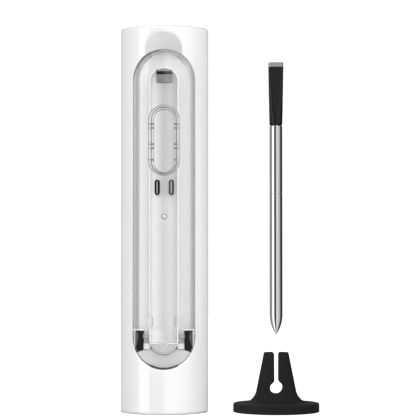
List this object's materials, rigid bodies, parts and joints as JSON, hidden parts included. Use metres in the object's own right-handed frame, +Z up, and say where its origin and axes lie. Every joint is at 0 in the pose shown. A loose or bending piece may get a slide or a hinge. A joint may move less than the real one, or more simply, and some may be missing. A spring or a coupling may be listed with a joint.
{
  "type": "meat thermometer",
  "caption": "Wireless meat thermometer set: a white charging dock with a hinged clear lid, a steel probe with a black handle, and a slotted silicone holder.",
  "frame": {"origin": "middle of the dock's flat base, in the plane that everything stands on", "axes": "+Z up along the dock, -Y out of the dock's crowned front, +X from the dock towards the probe and its holder"},
  "size_m": [0.0933, 0.0406, 0.18],
  "materials": {
    "case": "glossy white moulded plastic",
    "tray": "satin white moulded plastic",
    "clear": "clear moulded acrylic",
    "black": "black moulded plastic, fine grain",
    "steel": "bright plated steel",
    "stem": "mirror-polished stainless steel",
    "contact": "nickel-plated spring metal",
    "ceramic": "satin black ceramic",
    "cap": "bead-blasted silver metal",
    "silicone": "matte black silicone rubber",
    "board": "green circuit board",
    "cell": "plain printed metal can, no wording"
  },
  "bodies": {
    "dock": {"front_shell": "case", "back_cover": "case", "case_screw_1": "steel", "case_screw_2": "steel", "case_screw_3": "steel", "case_screw_4": "steel", "back_magnet_lower": "steel", "back_magnet_upper": "steel", "probe_tray": "tray", "recess_trim": "tray", "hinge_pin_left": "steel", "hinge_pin_right": "steel", "hinge_block_left": "black", "hinge_block_right": "black", "contact_spring_left": "steel", "contact_spring_right": "steel", "contact_carrier": "black", "end_contact_spring": "steel", "light_pipe": "clear", "indicator_led": "tray", "main_board": "board", "radio_module": "cap", "charge_controller": "black", "power_connector": "tray", "battery_holder": "black", "battery_cell": "cell", "battery_spring": "contact", "battery_plate": "contact"},
    "lid": {"clear_lid": "clear", "handle_guide_ring": "clear"},
    "door": {"battery_door": "case"},
    "contact_left": {"charge_contact_left": "contact"},
    "contact_right": {"charge_contact_right": "contact"},
    "end_contact": {"end_contact": "contact"},
    "probe": {"probe_stem": "stem", "handle_seal": "silicone", "probe_handle": "ceramic", "probe_end_cap": "cap", "insulating_sleeve": "tray", "probe_board": "board", "antenna_strip": "contact", "probe_cell": "cell", "tip_sensor": "black", "ambient_sensor": "black"},
    "holder": {"silicone_holder": "silicone"}
  },
  "joints": [
    {"name": "lid_hinge", "type": "hinge", "parent": "dock", "child": "lid", "pos_m": [0, -0.009, 0.036], "axis": [1, 0, 0], "range_deg": [0, 95]},
    {"name": "battery_door_pull", "type": "slide", "parent": "dock", "child": "door", "axis": [0, 1, 0], "range_m": [0, 0.03]},
    {"name": "charge_contact_left_press", "type": "slide", "parent": "dock", "child": "contact_left", "axis": [0, 1, 0], "range_m": [0, 0.0009], "stiffness_N_per_m": 100, "springref_m": -0.001, "deforming": ["contact_spring_left"]},
    {"name": "charge_contact_right_press", "type": "slide", "parent": "dock", "child": "contact_right", "axis": [0, 1, 0], "range_m": [0, 0.0009], "stiffness_N_per_m": 100, "springref_m": -0.001, "deforming": ["contact_spring_right"]},
    {"name": "end_contact_press", "type": "slide", "parent": "dock", "child": "end_contact", "axis": [0, 1, 0], "range_m": [0, 0.0009], "stiffness_N_per_m": 100, "springref_m": -0.001, "deforming": ["end_contact_spring"]},
    {"name": "probe_lift", "type": "slide", "parent": "dock", "child": "probe", "axis": [0, 0, 1], "range_m": [0, 0.06]},
    {"name": "holder_slide", "type": "slide", "parent": "dock", "child": "holder", "axis": [0, -1, 0], "range_m": [0, 0.06]}
  ]
}
